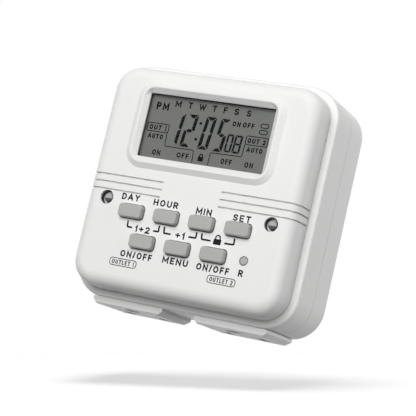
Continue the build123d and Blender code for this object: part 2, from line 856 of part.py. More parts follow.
# Outlets: an insulating block with a nose below the case, slots, a ground hole and pockets for the contacts
nose_depth = nose_front - outlet_nose_back
nose_middle = outlet_nose_back + nose_depth / 2
clip_width = clip_gap + 2 * clip_leaf
ground_clip_width = ground_clip_gap + 2 * clip_leaf
ear_bottom = nose_top + case_wall + outlet_ear_gap
for side, x in (("left", -outlet_x), ("right", outlet_x)):
    with BuildPart() as outlet:
        with BuildSketch(Plane.XY.offset(nose_bottom)):
            with Locations((x, -nose_middle)):
                Rectangle(outlet_nose_width, nose_depth)
        extrude(amount=outlet_nose_drop)
        chamfer(outlet.faces().sort_by(Axis.Z)[0].edges().sort_by(Axis.Y)[1:], outlet_nose_bevel)
        chamfer(outlet.faces().sort_by(Axis.Z)[0].edges().sort_by(Axis.Y)[0], outlet_nose_edge)
        with BuildSketch(Plane.XY.offset(nose_top)) as body:
            with Locations((x, -outlet_middle)):
                Rectangle(outlet_body_width, outlet_body_front - outlet_body_back)
            chamfer(body.vertices().group_by(Axis.Y)[-1], outlet_body_chamfer)
        extrude(amount=outlet_body_tall)
        with BuildSketch(Plane.XY.offset(ear_bottom)):
            with Locations((x, -outlet_middle)):
                Rectangle(
                    outlet_body_width + 2 * outlet_ear,
                    outlet_body_front - outlet_body_back - 2 * outlet_ear_inset,
                )
        extrude(amount=outlet_ear_height)
        with BuildSketch(Plane.XY.offset(nose_bottom)):
            with Locations((x - blade_spacing / 2, -slot_line_depth)):
                Rectangle(slot_width, hot_slot_length)
            with Locations((x + blade_spacing / 2, -slot_line_depth)):
                Rectangle(slot_width, neutral_slot_length)
            with Locations((x, -ground_line_depth)):
                Circle(ground_hole_radius)
        extrude(amount=outlet_face_thickness, mode=Mode.SUBTRACT)
        with BuildSketch(Plane.XY.offset(face_top)):
            with Locations((x, -slot_line_depth)):
                with GridLocations(blade_spacing, 1, 2, 1):
                    Rectangle(clip_width + 2 * pocket_clearance, neutral_slot_length + pocket_clearance)
            with Locations((x, -ground_line_depth)):
                Rectangle(ground_clip_width + 2 * pocket_clearance, ground_clip_depth + 2 * pocket_clearance)
        extrude(amount=outlet_body_top - face_top, mode=Mode.SUBTRACT)
    outlet.part.label = f"outlet_{side}"
    export_step(outlet.part, f"parts/outlet_{side}.step")

# Contacts: sprung brass leaves in the outlets, joined by straps above them
strap_top = outlet_body_top + strap_thickness
ground_strap_bottom = outlet_body_top + ground_strap_lift
ground_strap_top = ground_strap_bottom + strap_thickness
tab_top = power_board_bottom + tab_reach


def clip(x, depth, gap, along, top):
    """Two leaves with a bridge over them."""
    with BuildPart() as leaves:
        with BuildSketch(Plane.XY.offset(top - clip_drop)):
            with Locations((x, -depth)):
                Rectangle(gap + 2 * clip_leaf, along)
                Rectangle(gap, along, mode=Mode.SUBTRACT)
        extrude(amount=clip_drop)
        with BuildSketch(Plane.XY.offset(top - strap_thickness)):
            with Locations((x, -depth)):
                Rectangle(gap + 2 * clip_leaf, along)
        extrude(amount=strap_thickness)
    return leaves.part


def board_tab(x):
    """A tab from a strap to the front of the power board, where it is soldered."""
    with BuildPart() as tab:
        with BuildSketch(across(power_front)):
            with Locations((x, outlet_body_top)):
                Rectangle(tab_width, tab_top - outlet_body_top, align=(Align.CENTER, Align.MIN))
        extrude(amount=tab_thickness)
    return tab.part


for side, x in (("left", -outlet_x), ("right", outlet_x)):
    hot_x = x - blade_spacing / 2
    with BuildPart() as hot_contact:
        add(clip(hot_x, slot_line_depth, clip_gap, clip_depth, strap_top))
        add(board_tab(hot_x))
    hot_contact.part.label = f"hot_contact_{side}"
    export_step(hot_contact.part, f"parts/hot_contact_{side}.step")

neutral_left = -outlet_x + blade_spacing / 2
neutral_right = outlet_x + blade_spacing / 2
neutral_strap_depth = slot_line_depth + neutral_strap_distance
neutral_strap_front = neutral_strap_depth + neutral_strap_width / 2
with BuildPart() as neutral_bar:
    for x in (neutral_left, neutral_right):
        add(clip(x, slot_line_depth, clip_gap, clip_depth, strap_top))
    add(board_tab(neutral_left))
    with BuildSketch(Plane.XY.offset(outlet_body_top)):
        with Locations((neutral_left, -slot_line_depth), (neutral_right, -slot_line_depth)):
            Rectangle(clip_width, neutral_strap_front - slot_line_depth, align=(Align.CENTER, Align.MAX))
        with Locations(((neutral_left + neutral_right) / 2, -neutral_strap_depth)):
            Rectangle(neutral_right - neutral_left + clip_width, neutral_strap_width)
    extrude(amount=strap_thickness)
neutral_bar.part.label = "neutral_bar"
export_step(neutral_bar.part, "parts/neutral_bar.step")

ground_strap_depth = case_wall + collar_thickness
ground_strap_peak = plug_ground_height + strap_width / 2
with BuildPart() as ground_bar:
    for x in (-outlet_x, outlet_x):
        add(clip(x, ground_line_depth, ground_clip_gap, ground_clip_depth, ground_strap_top))
    with BuildSketch(Plane.XY.offset(ground_strap_bottom)):
        with Locations((0, -ground_line_depth)):
            Rectangle(2 * outlet_x, ground_clip_depth)
        with Locations((0, -ground_strap_depth)):
            Rectangle(strap_width, ground_line_depth - ground_strap_depth, align=(Align.CENTER, Align.MAX))
    extrude(amount=strap_thickness)
    with BuildSketch(across(ground_strap_depth)):
        with Locations((0, ground_strap_bottom)):
            Rectangle(strap_width, ground_strap_peak - ground_strap_bottom, align=(Align.CENTER, Align.MIN))
        with Locations((0, plug_ground_height)):
            Circle(rivet_radius + rivet_clearance, mode=Mode.SUBTRACT)
    extrude(amount=strap_thickness)
ground_bar.part.label = "ground_bar"
export_step(ground_bar.part, "parts/ground_bar.step")

# Plug: two flat blades and a round ground pin
for name, x, width in (
    ("line_blade", blade_spacing / 2, line_blade_width),
    ("neutral_blade", -blade_spacing / 2, neutral_blade_width),
):
    with BuildPart() as blade:
        with BuildSketch(across(-blade_length)):
            with Locations((x, plug_height)):
                Rectangle(blade_thickness, width)
        extrude(amount=blade_length + power_board_depth)
        chamfer(blade.faces().sort_by(Axis.Y)[-1].edges(), blade_tip_bevel)
        with BuildSketch(across(case_wall)):
            with Locations((x, plug_height)):
                Rectangle(blade_thickness + 2 * collar_lap, width + 2 * collar_lap)
        extrude(amount=collar_thickness)
        with BuildSketch(Plane.YZ.offset(x - blade_thickness / 2)):
            with Locations((blade_hole_distance, plug_height)):
                Circle(blade_hole_radius)
        extrude(amount=blade_thickness, mode=Mode.SUBTRACT)
    blade.part.label = name
    export_step(blade.part, f"parts/{name}.step")

with BuildPart() as ground_pin:
    with BuildSketch(across(-ground_pin_length)):
        with Locations((0, plug_ground_height)):
            Circle(ground_pin_radius)
    extrude(amount=ground_pin_length)
    fillet(ground_pin.faces().sort_by(Axis.Y)[-1].edges(), ground_pin_tip)
    with BuildSketch(across(0)):
        with Locations((0, plug_ground_height)):
            Circle(ground_pin_root_radius)
    extrude(amount=case_wall)
    with BuildSketch(across(case_wall)):
        with Locations((0, plug_ground_height)):
            Circle(ground_pin_root_radius + collar_lap)
    extrude(amount=collar_thickness)
    with BuildSketch(across(ground_strap_depth)):
        with Locations((0, plug_ground_height)):
            Circle(rivet_radius)
    extrude(amount=rivet_length)
ground_pin.part.label = "ground_pin"
export_step(ground_pin.part, "parts/ground_pin.step")

# Long screws that hold the rear case, the frame and the cover together
with BuildPart() as case_screws:
    with BuildSketch(across(case_screw_recess - case_screw_head_height)):
        with Locations(*case_screw_places):
            Circle(case_screw_head_radius)
    extrude(amount=case_screw_head_height)
    with BuildSketch(across(case_screw_recess)):
        with Locations(*case_screw_places):
            Circle(case_screw_radius)
    extrude(amount=flange_face + case_screw_bite - case_screw_recess)
    with BuildSketch(across(case_screw_recess - case_screw_head_height)):
        with Locations(*case_screw_places):
            Rectangle(drive_length, drive_width)
            Rectangle(drive_width, drive_length)
    extrude(amount=drive_depth, mode=Mode.SUBTRACT)
case_screws.part.label = "case_screws"
export_step(case_screws.part, "parts/case_screws.step")

# Small screws for the two boards
with BuildPart() as board_screws:
    with BuildSketch(across(board_back - small_screw_head_height)):
        with Locations(*control_screw_places):
            Circle(small_screw_head_radius)
    extrude(amount=small_screw_head_height)
    with BuildSketch(across(board_back)):
        with Locations(*control_screw_places):
            Circle(small_screw_radius)
    extrude(amount=small_screw_length)
    with BuildSketch(across(board_back - small_screw_head_height)):
        with Locations(*control_screw_places):
            Rectangle(small_drive_length, drive_width)
            Rectangle(drive_width, small_drive_length)
    extrude(amount=small_drive_depth, mode=Mode.SUBTRACT)
    with BuildSketch(across(power_front)):
        with Locations(*power_screw_places):
            Circle(small_screw_head_radius)
    extrude(amount=small_screw_head_height)
    with BuildSketch(across(power_front - small_screw_length)):
        with Locations(*power_screw_places):
            Circle(small_screw_radius)
    extrude(amount=small_screw_length)
    with BuildSketch(across(power_front + small_screw_head_height - small_drive_depth)):
        with Locations(*power_screw_places):
            Rectangle(small_drive_length, drive_width)
            Rectangle(drive_width, small_drive_length)
    extrude(amount=small_drive_depth, mode=Mode.SUBTRACT)
board_screws.part.label = "board_screws"
export_step(board_screws.part, "parts/board_screws.step")
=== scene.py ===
import math

import bmesh
import bpy
from mathutils import Matrix, Vector


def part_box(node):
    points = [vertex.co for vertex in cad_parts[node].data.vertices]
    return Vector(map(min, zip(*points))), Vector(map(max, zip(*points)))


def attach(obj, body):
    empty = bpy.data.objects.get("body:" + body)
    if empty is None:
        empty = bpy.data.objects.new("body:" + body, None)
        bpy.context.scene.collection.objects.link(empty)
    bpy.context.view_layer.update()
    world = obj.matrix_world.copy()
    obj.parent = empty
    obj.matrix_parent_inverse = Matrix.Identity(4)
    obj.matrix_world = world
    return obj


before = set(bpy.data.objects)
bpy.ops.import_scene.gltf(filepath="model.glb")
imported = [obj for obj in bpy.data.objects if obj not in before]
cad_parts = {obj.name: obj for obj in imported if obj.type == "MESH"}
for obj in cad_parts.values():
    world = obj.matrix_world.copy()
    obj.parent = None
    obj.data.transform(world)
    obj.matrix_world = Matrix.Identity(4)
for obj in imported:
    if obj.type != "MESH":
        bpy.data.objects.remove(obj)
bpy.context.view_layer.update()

# Digital plug-in timer. Metres, X to the right, Z up, the wall at Y = 0 and the front towards -Y.


# Housing: rear case, frame and front cover. They are three injection mouldings in white ABS, held
# together by three screws from behind. The moulds are spark eroded, so the plastic has a fine even
# grain and only a soft broad gloss.
millimetre = 0.001


def linear(code):
    """A linear colour for Blender from an sRGB hex code."""
    channels = [int(code[i : i + 2], 16) / 255 for i in (1, 3, 5)]
    return [c / 12.92 if c <= 0.04045 else ((c + 0.055) / 1.055) ** 2.4 for c in channels] + [1.0]


def add_node(material, kind, settings=None, links=None):
    """Adds a node to a material or world, sets its values, and joins its inputs to other nodes'
    outputs. Inputs that share one name are given by number."""
    node = material.node_tree.nodes.new(kind)
    for name, value in (settings or {}).items():
        if isinstance(name, str) and hasattr(node, name):
            setattr(node, name, value)
        else:
            node.inputs[name].default_value = value
    for name, source in (links or {}).items():
        material.node_tree.links.new(source, node.inputs[name])
    return node


def blank(name):
    """A new material without nodes."""
    material = bpy.data.materials.new(name)
    material.use_nodes = True
    material.node_tree.nodes.clear()
    return material


def finish_with(material, shader):
    """Joins a shader node to the material's output."""
    add_node(material, "ShaderNodeOutputMaterial", links={"Surface": shader.outputs[0]})


# Sockets of the Mix node where it mixes colours
mix_share = 0
mix_first = 6
mix_second = 7
mix_result = 2


def two_tones(material, place, light, dark, size, detail, unevenness=0.5):
    """The colour of two close tones in clouds of a size in millimetres."""
    clouds = add_node(
        material,
        "ShaderNodeTexNoise",
        {"Scale": 1 / (size * millimetre), "Detail": detail, "Roughness": unevenness},
        {"Vector": place},
    )
    tone = add_node(
        material,
        "ShaderNodeMix",
        {"data_type": "RGBA", mix_first: linear(dark), mix_second: linear(light)},
        {mix_share: clouds.outputs[0]},
    )
    return tone.outputs[mix_result]


def moulded(name, light, dark, grain, depth, roughness, index):
    """A moulded plastic: two close tones in slow clouds, and the grain of a spark-eroded mould, whose
    size and depth are in millimetres."""
    material = blank(name)
    place = add_node(material, "ShaderNodeTexCoord").outputs["Object"]
    tone = two_tones(material, place, light, dark, size=14, detail=3.0)
    pits = add_node(
        material,
        "ShaderNodeTexNoise",
        {"Scale": 1 / (grain * millimetre), "Detail": 2.0, "Roughness": 0.6},
        {"Vector": place},
    )
    relief = add_node(
        material,
        "ShaderNodeBump",
        {"Strength": 0.6, "Distance": depth * millimetre},
        {"Height": pits.outputs[0]},
    )
    gloss = add_node(
        material,
        "ShaderNodeMapRange",
        {"From Min": 0.3, "From Max": 0.7, "To Min": roughness - 0.05, "To Max": roughness + 0.05},
        {"Value": pits.outputs[0]},
    )
    skin = add_node(
        material,
        "ShaderNodeBsdfPrincipled",
        {"IOR": index},
        {"Base Color": tone, "Roughness": gloss.outputs[0], "Normal": relief.outputs[0]},
    )
    finish_with(material, skin)
    return material


def dress(material, *names):
    """Gives CAD nodes their material."""
    for name in names:
        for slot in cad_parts[name].material_slots:
            slot.material = material


# White ABS: opaque, even and slightly warm, with a soft sheen. Its grain of 0.1 mm is drawn at 0.3 mm.
white_abs = moulded("white_abs", "#F0F0EF", "#ECECEB", grain=0.3, depth=0.012, roughness=0.42, index=1.53)
dress(white_abs, "rear_case", "front_case", "front_cover")


# Display window. It is a small plate of clear acrylic, cut from polished sheet and glued into the cover
# from behind.
def clouded(name, light, dark, size, detail, surface, unevenness=0.5):
    """A smooth finish in two close tones, which lie in clouds of a size in millimetres."""
    material = blank(name)
    place = add_node(material, "ShaderNodeTexCoord").outputs["Object"]
    tone = two_tones(material, place, light, dark, size, detail, unevenness)
    skin = add_node(material, "ShaderNodeBsdfPrincipled", surface, {"Base Color": tone})
    finish_with(material, skin)
    return material


# Acrylic: clear, with a hard even gloss and the faintest smoky tint.
clear_acrylic = clouded(
    "clear_acrylic",
    "#1C1E1E",
    "#141616",
    size=9,
    detail=2.0,
    surface={"IOR": 1.49, "Roughness": 0.06, "Alpha": 0.14},
)
dress(clear_acrylic, "display_window")


# Liquid crystal cell. Two thin glasses hold the crystal between them, with a reflecting film behind,
# and look a plain grey. The dark marks are the segments that are switched on: they lie on the front of
# the cell.

# Twisted nematic cell: a flat grey with a satin surface, from its polariser and its metal film.
grey_cell = clouded(
    "grey_cell",
    "#929491",
    "#8A8C89",
    size=7,
    detail=4.0,
    surface={"IOR": 1.5, "Roughness": 0.35},
    unevenness=0.55,
)
dress(grey_cell, "display_glass")


class Plate:
    """Flat marks with a small thickness, built in millimetres on a plane parallel to the face."""

    # A sharp corner's mitre reaches at most the half width divided by this.
    mitre_limit = 0.35

    def __init__(self, depth, thickness):
        self.mesh = bmesh.new()
        self.depth = depth
        self.thickness = thickness

    def outline(self, points):
        """A flat mark with a closed outline."""
        front = [self.mesh.verts.new((x, -(self.depth + self.thickness), z)) for x, z in points]
        back = [self.mesh.verts.new((x, -self.depth, z)) for x, z in points]
        self.mesh.faces.new(front)
        self.mesh.faces.new(back[::-1])
        for i in range(len(points)):
            j = (i + 1) % len(points)
            self.mesh.faces.new((front[j], front[i], back[i], back[j]))

    def line(self, points, width, closed=False, square=False):
        """A strip of even width along points. Square ends reach half the width past the last points."""
        spots = [Vector(p) for p in points]
        if square:
            spots[0] = spots[0] + (spots[0] - spots[1]).normalized() * width / 2
            spots[-1] = spots[-1] + (spots[-1] - spots[-2]).normalized() * width / 2
        count = len(spots)
        rails = []
        for i, spot in enumerate(spots):
            steps = []
            if closed or i > 0:
                steps.append((spot - spots[i - 1]).normalized())
            if closed or i < count - 1:
                steps.append((spots[(i + 1) % count] - spot).normalized())
            along = sum(steps, Vector((0, 0))).normalized()
            side = Vector((-along.y, along.x))
            sharpness = side.dot(Vector((-steps[0].y, steps[0].x)))
            reach = side * width / 2 / max(self.mitre_limit, sharpness)
            corners = []
            for edge, depth in (
                (spot + reach, self.depth + self.thickness),
                (spot - reach, self.depth + self.thickness),
                (spot - reach, self.depth),
                (spot + reach, self.depth),
            ):
                corners.append(self.mesh.verts.new((edge.x, -depth, edge.y)))
            rails.append(corners)
        for i in range(count if closed else count - 1):
            here, there = rails[i], rails[(i + 1) % count]
            for a in range(4):
                b = (a + 1) % 4
                self.mesh.faces.new((here[a], here[b], there[b], there[a]))
        if not closed:
            self.mesh.faces.new(rails[0])
            self.mesh.faces.new(rails[-1][::-1])

    def piece(self, name, material, body):
        """Turns the marks into a piece that rides on a body."""
        bmesh.ops.recalc_face_normals(self.mesh, faces=self.mesh.faces[:])
        made = bpy.data.meshes.new(name)
        self.mesh.to_mesh(made)
        self.mesh.free()
        made.transform(Matrix.Scale(millimetre, 4))
        made.materials.append(material)
        thing = bpy.data.objects.new(name, made)
        bpy.context.scene.collection.objects.link(thing)
        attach(thing, body)


def bow(x, z, wide, tall, start, end, turns=8):
    """Points along an arc round x, z, between two angles in degrees."""
    points = []
    for step in range(turns + 1):
        angle = math.radians(start + (end - start) * step / turns)
        points.append((x + wide * math.cos(angle), z + tall * math.sin(angle)))
    return points


def ring(x, z, radius, sides):
    """The outline of a round spot, with its points spread evenly."""
    return bow(x, z, radius, radius, 0, 360 - 360 / sides, sides - 1)


def round_box(x0, x1, z0, z1, radius, turns=6):
    """The outline of a rectangle with round corners."""
    return (
        bow(x1 - radius, z1 - radius, radius, radius, 0, 90, turns)
        + bow(x0 + radius, z1 - radius, radius, radius, 90, 180, turns)
        + bow(x0 + radius, z0 + radius, radius, radius, 180, 270, turns)
        + bow(x1 - radius, z0 + radius, radius, radius, 270, 360, turns)
    )


def round_corners(points, radius, turns=5):
    """An open line with its inner corners rounded."""
    made = [points[0]]
    for before, corner, after in zip(points, points[1:], points[2:]):
        here = Vector(corner)
        to_before = (Vector(before) - here).normalized() * radius
        to_after = (Vector(after) - here).normalized() * radius
        for step in range(turns + 1):
            t = step / turns
            spot = here + to_before * (1 - t) ** 2 + to_after * t**2
            made.append((spot.x, spot.y))
    return made + [points[-1]]


# Plain upright letters: the width of each at height 1, and its strokes in a box of 1 by 1
stem_and_loop = [(0, 0), (0, 1)] + bow(0.5, 0.73, 0.5, 0.27, 90, -90) + [(0, 0.46)]
letters = {
    "A": (0.88, [(0, 0), (0.5, 1), (1, 0)], [(0.2, 0.3), (0.8, 0.3)]),
    "D": (0.76, [(0, 0), (0, 1)] + bow(0.4, 0.5, 0.6, 0.5, 90, -90) + [(0, 0)]),
    "E": (0.64, [(1, 1), (0, 1), (0, 0), (1, 0)], [(0, 0.5), (0.85, 0.5)]),
    "F": (0.6, [(1, 1), (0, 1), (0, 0)], [(0, 0.5), (0.85, 0.5)]),
    "H": (0.76, [(0, 0), (0, 1)], [(1, 0), (1, 1)], [(0, 0.5), (1, 0.5)]),
    "I": (0.16, [(0.5, 0), (0.5, 1)]),
    "L": (0.6, [(0, 1), (0, 0), (1, 0)]),
    "M": (0.94, [(0, 0), (0, 1), (0.5, 0.25), (1, 1), (1, 0)]),
    "N": (0.78, [(0, 0), (0, 1), (1, 0), (1, 1)]),
    "O": (0.84, bow(0.5, 0.5, 0.5, 0.5, 0, 360, 20)),
    "P": (0.68, stem_and_loop),
    "R": (0.72, stem_and_loop, [(0.5, 0.46), (1, 0)]),
    "S": (0.7, bow(0.5, 0.75, 0.48, 0.25, 25, 270) + bow(0.5, 0.25, 0.5, 0.25, 90, -155)[1:]),
    "T": (0.72, [(0, 1), (1, 1)], [(0.5, 1), (0.5, 0)]),
    "U": (0.76, [(0, 1), (0, 0.34)] + bow(0.5, 0.34, 0.5, 0.34, 180, 360)[1:] + [(1, 1)]),
    "W": (1.1, [(0, 1), (0.26, 0), (0.5, 0.85), (0.74, 0), (1, 1)]),
    "Y": (0.8, [(0, 1), (0.5, 0.46), (1, 1)], [(0.5, 0.46), (0.5, 0)]),
    "1": (0.32, [(0, 0.76), (1, 1), (1, 0)]),
    "2": (0.68, bow(0.5, 0.72, 0.48, 0.28, 165, -25) + [(0, 0), (1, 0)]),
    "+": (0.66, [(0, 0.5), (1, 0.5)], [(0.5, 0.2), (0.5, 0.8)]),
    "/": (0.4, [(0, 0), (1, 1)]),
    " ": (0.3,),
}
letter_gap = 0.26
same_spot = 1e-6


def write(plate, word, x, z, width, height, bar):
    """A word in plain letters, centred on x, z, from edge to edge as wide as the width."""
    natural = sum(letters[sign][0] for sign in word) + letter_gap * (len(word) - 1)
    unit = width / natural
    left = x - width / 2
    foot = z - height / 2 + bar / 2
    for sign in word:
        wide, *strokes = letters[sign]
        for stroke in strokes:
            spots = [
                (left + bar / 2 + u * (wide * unit - bar), foot + v * (height - bar)) for u, v in stroke
            ]
            if (Vector(spots[0]) - Vector(spots[-1])).length < same_spot:
                plate.line(spots[:-1], bar, closed=True)
            else:
                plate.line(spots, bar, square=True)
        left += (wide + letter_gap) * unit


def padlock(plate, x, z, width, height, bar):
    """A closed padlock, with a shackle over a body that takes up just over half of its height."""
    foot = z - height / 2
    body_top = foot + height * 0.56
    plate.outline(round_box(x - width / 2, x + width / 2, foot, body_top, 0.12 * width))
    radius = width * 0.29
    sunk = body_top - 0.02
    shackle = bow(x, body_top + height * 0.14, radius, radius, 180, 0)
    plate.line([(x - radius, sunk)] + shackle + [(x + radius, sunk)], bar)


# The segments of each digit: a at the top, then clockwise to f, and g across the middle
segments_of = {"0": "abcdef", "1": "bc", "2": "abged", "5": "afgcd", "8": "abcdefg"}


def digit(plate, figure, x, z, width, height, bar, lean, split):
    """A seven-segment digit whose lower left corner is at x, z. Its segments meet at mitred corners."""
    side, top, half = width / 2, height / 2, bar / 2
    lid = [
        (split - side, top),
        (side - split, top),
        (side - bar - split, top - bar),
        (bar + split - side, top - bar),
    ]
    waist = [(half + split - side, 0), (bar + split - side, half), (side - bar - split, half)]
    post = [
        (side, top - split),
        (side, split / 2),
        (side - half, split / 2),
        (side - bar, half + split / 2),
        (side - bar, top - bar - split),
    ]
    shapes = {
        "a": lid,
        "b": post,
        "c": [(u, -v) for u, v in post],
        "d": [(u, -v) for u, v in lid],
        "e": [(-u, -v) for u, v in post],
        "f": [(-u, v) for u, v in post],
        "g": waist + [(-u, -v) for u, v in waist],
    }
    for name in segments_of[figure]:
        plate.outline([(x + side + u + lean * (top + v), z + top + v) for u, v in shapes[name]])


# The marks stand just clear of the cell's front, and their middle is just above that of the cell.
mark_gap = 0.02
mark_thickness = 0.04
cell_low, cell_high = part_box("display_glass")
marks = Plate(-cell_low.y / millimetre + mark_gap, mark_thickness)
middle_rise = 0.1
display_middle = (cell_low.z + cell_high.z) / 2 / millimetre + middle_rise

# Hours and minutes, the smaller seconds, and the colon
for figure, x, width in (("1", -12.3, 1.95), ("2", -9.3, 3.75), ("0", -2.65, 3.7), ("5", 2.7, 3.5)):
    digit(marks, figure, x, display_middle - 5.5, width, height=11.2, bar=1.15, lean=0.1, split=0.2)
for figure, x, width in (("0", 6.95, 2.4), ("8", 9.75, 2.75)):
    digit(marks, figure, x, display_middle - 5.2, width, height=6.1, bar=0.66, lean=0.05, split=0.1)
for x, z in ((-3.3, 3.1), (-3.8, -2.4)):
    marks.outline(ring(x, display_middle + z, radius=0.5, sides=16))

# Initials of the weekdays, each as wide as its letter needs
for day, x in zip("MTWTFSS", (-12.9, -8.45, -3.95, 0.45, 4.45, 8.5, 12.9)):
    day_width = 2.2 * letters[day][0] + 0.1
    write(marks, day, x, display_middle + 8.6, day_width, height=2.15, bar=0.45)

# Words round the time
write(marks, "PM", -18.4, display_middle + 7.1, width=4.6, height=2.6, bar=0.58)
for word, x, z, width, height in (
    ("ON", 9.4, 4.5, 2.9, 1.7),
    ("OFF", 13.7, 4.6, 4.1, 1.7),
    ("OUT 1", -18.4, -0.3, 6.3, 1.7),
    ("AUTO", -18.6, -3.3, 5.6, 1.65),
    ("ON", -16.9, -8.7, 3.0, 1.8),
    ("OFF", -7.1, -8.5, 4.4, 1.8),
    ("OUT 2", 17.75, -0.3, 6.4, 1.7),
    ("AUTO", 17.7, -3.3, 5.6, 1.65),
    ("OFF", 8.75, -8.35, 4.0, 1.8),
    ("ON", 16.85, -8.4, 3.0, 1.8),
):
    write(marks, word, x, display_middle + z, width, height, bar=0.38)

# Frames round the outlets' names, and a line from each frame to the lower edge
frame_bar = 0.28
frame_round = 0.6
for left, right, low, high in ((-22.4, -14.4, -1.7, 1.1), (13.9, 21.6, -1.7, 1.2)):
    label = round_box(left, right, display_middle + low, display_middle + high, frame_round)
    marks.line(label, frame_bar, closed=True)
for route in (
    [(-14.6, -1.8), (-14.4, -6.2), (-3.65, -6.2), (-3.3, -10.3)],
    [(2.45, -10.2), (2.55, -6.1), (13.7, -6.0), (13.9, -1.8)],
):
    marks.line(round_corners([(x, display_middle + z) for x, z in route], frame_round), frame_bar)

# A padlock, and two plain signs on the right
padlock(marks, -0.5, display_middle - 8.2, width=1.9, height=2.7, bar=0.4)
sign_half_height = 0.65
for z in (5.1, 3.0):
    sign_middle = display_middle + z
    sign = round_box(18.0, 20.7, sign_middle - sign_half_height, sign_middle + sign_half_height, 0.5)
    marks.line(sign, 0.3, closed=True)

# Switched-on crystal: near black, flat and matt.
dark_crystal = clouded(
    "dark_crystal",
    "#0D0E0E",
    "#070808",
    size=3,
    detail=2.0,
    surface={"Roughness": 0.6, "IOR": 1.5, "Specular IOR Level": 0.05},
)
marks.piece("display_marks", dark_crystal, "housing")


# Keys and reset pin. They are separate mouldings in grey ABS from a coarser mould. Each stands on a
# dome of the silicone mat behind it, and a lip stops it behind the cover.

# Grey ABS: opaque, with a grain coarse enough to see and a dull sheen.
grey_abs = moulded("grey_abs", "#B3B3B2", "#ABABAA", grain=0.35, depth=0.03, roughness=0.5, index=1.53)
dress(grey_abs, "day_key", "hour_key", "minute_key", "set_key")
dress(grey_abs, "outlet1_key", "menu_key", "outlet2_key", "reset_button")


# Legends on the face. They are black pad-printed ink, a few hundredths of a millimetre thick, over the
# cover's plastic.

# Pad-printing ink: dark grey to black, matt, with the slight unevenness of a thin coat.
print_ink = clouded(
    "print_ink",
    "#1A1A1A",
    "#0E0E0E",
    size=0.8,
    detail=3.0,
    surface={"Roughness": 0.55, "IOR": 1.5, "Specular IOR Level": 0.2},
)

# The ink's back is sunk a hair into the cover's flat face.
cover_face = 38.5
ink_sunk = 0.01
ink_thickness = 0.03
legends = Plate(cover_face - ink_sunk, ink_thickness)

# Names of the keys, and the signs between the rows
for word, x, z, width in (
    ("DAY", -21.0, -7.2, 6.6),
    ("HOUR", -7.9, -7.5, 9.0),
    ("MIN", 6.1, -8.0, 5.6),
    ("SET", 19.7, -8.1, 6.2),
    ("ON/OFF", -14.2, -26.0, 11.6),
    ("MENU", 0.1, -25.6, 9.2),
    ("ON/OFF", 13.6, -25.7, 11.6),
    ("1+2", -14.1, -17.2, 5.4),
    ("+1", -0.35, -17.0, 3.3),
    ("R", 23.4, -25.45, 1.6),
):
    write(legends, word, x, z, width, height=2.2, bar=0.48)

# Names of the outlets, each in a long round frame
label_width = 9.8
label_height = 2.4
for word, x, z in (("OUTLET 1", -18.3, -29.1), ("OUTLET 2", 17.4, -29.0)):
    left, right = x - label_width / 2, x + label_width / 2
    low, high = z - label_height / 2, z + label_height / 2
    legends.line(round_box(left, right, low, high, 0.9), 0.25, closed=True)
    write(legends, word, x, z, width=8.2, height=1.5, bar=0.29)

# Brackets from the upper keys to the signs between the rows
for route in (
    [(-20.0, -15.0), (-19.8, -17.1), (-18.0, -17.1)],
    [(-10.2, -17.0), (-8.25, -17.0), (-8.35, -14.9)],
    [(-6.45, -15.0), (-6.2, -17.1), (-3.7, -17.1)],
    [(2.7, -16.9), (5.4, -16.85), (5.3, -14.9)],
    [(7.2, -15.0), (7.45, -16.9), (10.7, -16.9)],
    [(15.6, -16.95), (18.9, -16.85), (18.8, -14.85)],
):
    legends.line(round_corners(route, 0.35), 0.6)
padlock(legends, 13.05, -16.2, width=2.7, height=3.3, bar=0.45)
legends.piece("face_legends", print_ink, "housing")


# Indicator lamps. They are 3 mm light-emitting diodes in clear epoxy, unlit, which stand on the control
# board in wells in the cover. A thin sleeve of black ABS lines the wall of each well, as painted shade on
# the wells' shaded walls.
lamp_low, lamp_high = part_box("lamp_right")
lamp_x = (lamp_low.x + lamp_high.x) / 2 / millimetre
lamp_height = (lamp_low.z + lamp_high.z) / 2 / millimetre

# Cast epoxy: a clear lens. Its upper half is painted lighter, as a painted highlight, and its lower half is
# painted dark grey, as painted shade.
lamp_epoxy = blank("lamp_epoxy")
lamp_place = add_node(lamp_epoxy, "ShaderNodeTexCoord").outputs["Object"]
painted_highlight_tone = two_tones(lamp_epoxy, lamp_place, "#BEBEBE", "#A0A0A0", size=0.7, detail=2.0)
lamp_axes = add_node(lamp_epoxy, "ShaderNodeSeparateXYZ", links={"Vector": lamp_place})
# The painted highlight ends and the painted shade starts just under the middle height of the lens.
painted_light_edge = add_node(
    lamp_epoxy,
    "ShaderNodeMapRange",
    {"From Min": (lamp_height - 0.25) * millimetre, "From Max": (lamp_height - 0.1) * millimetre},
    {"Value": lamp_axes.outputs["Z"]},
)
lens_tone = add_node(
    lamp_epoxy,
    "ShaderNodeMix",
    {"data_type": "RGBA", mix_first: linear("#505050")},
    {mix_share: painted_light_edge.outputs[0], mix_second: painted_highlight_tone},
)
lens = add_node(
    lamp_epoxy,
    "ShaderNodeBsdfPrincipled",
    {"Roughness": 0.15, "IOR": 1.55, "Specular IOR Level": 0.25},
    {"Base Color": lens_tone.outputs[mix_result]},
)
finish_with(lamp_epoxy, lens)
dress(lamp_epoxy, "lamp_left", "lamp_right")

